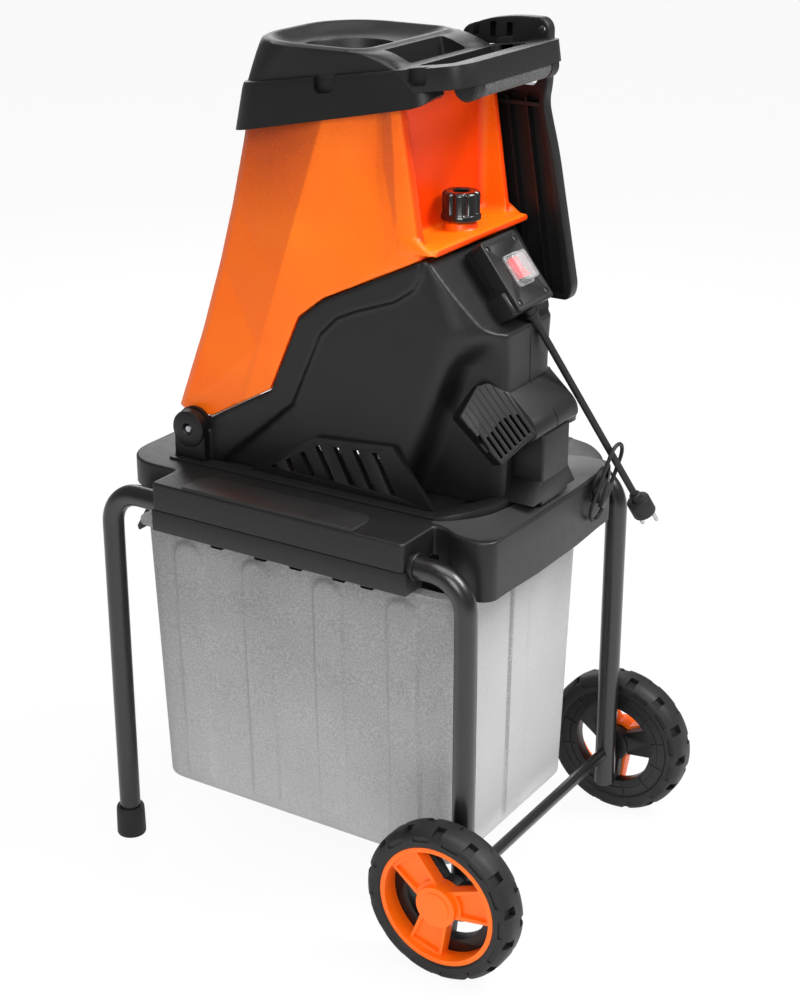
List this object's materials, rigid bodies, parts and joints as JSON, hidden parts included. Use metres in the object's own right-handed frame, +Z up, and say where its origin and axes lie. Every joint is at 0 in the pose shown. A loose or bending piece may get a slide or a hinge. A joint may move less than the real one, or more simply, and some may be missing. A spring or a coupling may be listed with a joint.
{
  "type": "garden shredder",
  "caption": "Electric garden shredder: hinged feed hopper with funnel and plunger over a motor housing, on a tube stand with wheels and a slide-out collecting bin.",
  "frame": {"origin": "on the floor, under the middle of the stand's footprint (feet to wheels)", "axes": "+Z up, -X to the front (feet, hinge, bin pull), +X to the rear (wheels, switch), -Y to the left side"},
  "size_m": [0.51, 0.408, 0.86],
  "materials": {
    "black_plastic": "fine-grained moulded black",
    "orange_plastic": "satin moulded orange",
    "tube_paint": "semi-gloss black powder coat",
    "rubber": "dull black",
    "tyre": "dull black",
    "steel": "zinc-plated",
    "motor_can": "dark grey paint",
    "winding": "lacquered iron and copper",
    "brass": "turned",
    "bin_plastic": "milky translucent, speckled",
    "red_plastic": "glossy",
    "clear_plastic": "clear soft cover"
  },
  "bodies": {
    "base": {"left_leg_frame": "tube_paint", "right_leg_frame": "tube_paint", "left_foot": "rubber", "right_foot": "rubber", "axle": "tube_paint", "axle_nuts": "steel", "deck": "black_plastic", "left_clamp_rail": "black_plastic", "right_clamp_rail": "black_plastic", "leg_screws": "steel", "left_housing": "black_plastic", "right_housing": "black_plastic", "left_grille": "black_plastic", "right_grille": "black_plastic", "housing_screws": "steel", "hinge_pins": "steel", "motor": "motor_can", "motor_plate": "steel", "upper_bearing": "steel", "lower_bearing": "steel", "lock_insert": "brass", "switch_box": "black_plastic", "switch_plate": "black_plastic", "plate_screws": "steel", "switch_cover": "clear_plastic", "cord_gland": "rubber", "cord": "rubber", "plug": "rubber", "plug_pins": "steel", "cord_hook": "black_plastic", "cord_loop": "rubber"},
    "left_wheel": {"left_tyre": "tyre", "left_rim": "black_plastic", "left_wheel_cover": "orange_plastic"},
    "right_wheel": {"right_tyre": "tyre", "right_rim": "black_plastic", "right_wheel_cover": "orange_plastic"},
    "rotor": {"motor_shaft": "steel", "armature": "winding", "cooling_fan": "black_plastic", "blade_disc": "steel", "blades": "steel", "blade_screws": "steel", "disc_nut": "steel"},
    "hopper": {"hopper": "orange_plastic", "funnel": "black_plastic", "handle_grip": "rubber"},
    "plunger": {"plunger": "black_plastic"},
    "knob": {"lock_knob": "black_plastic", "lock_stud": "steel"},
    "bin": {"bin": "bin_plastic", "bin_pull": "black_plastic"},
    "rocker": {"rocker": "red_plastic"}
  },
  "joints": [
    {"name": "left_wheel_spin", "type": "hinge", "parent": "base", "child": "left_wheel", "pos_m": [0.175, -0.1855, 0.08], "axis": [0, 1, 0], "continuous": true},
    {"name": "right_wheel_spin", "type": "hinge", "parent": "base", "child": "right_wheel", "pos_m": [0.175, 0.1855, 0.08], "axis": [0, 1, 0], "continuous": true},
    {"name": "rotor_spin", "type": "hinge", "parent": "base", "child": "rotor", "pos_m": [0.02, 0, 0.591], "axis": [-0.454, 0, 0.891], "continuous": true},
    {"name": "hopper_hinge", "type": "hinge", "parent": "base", "child": "hopper", "pos_m": [-0.181, 0, 0.458], "axis": [0, -1, 0], "range_deg": [0, 80]},
    {"name": "plunger_lift", "type": "slide", "parent": "hopper", "child": "plunger", "axis": [-0.1564, 0, 0.9877], "range_m": [0, 0.25]},
    {"name": "knob_turn", "type": "hinge", "parent": "hopper", "child": "knob", "pos_m": [0.075, 0, 0.69], "axis": [0, 0, 1], "continuous": true},
    {"name": "bin_slide", "type": "slide", "parent": "base", "child": "bin", "axis": [-1, 0, 0], "range_m": [0, 0.4]},
    {"name": "rocker_tip", "type": "hinge", "parent": "base", "child": "rocker", "pos_m": [0.12958, 0.003, 0.64101], "axis": [0, 1, 0], "range_deg": [0, 14]}
  ]
}
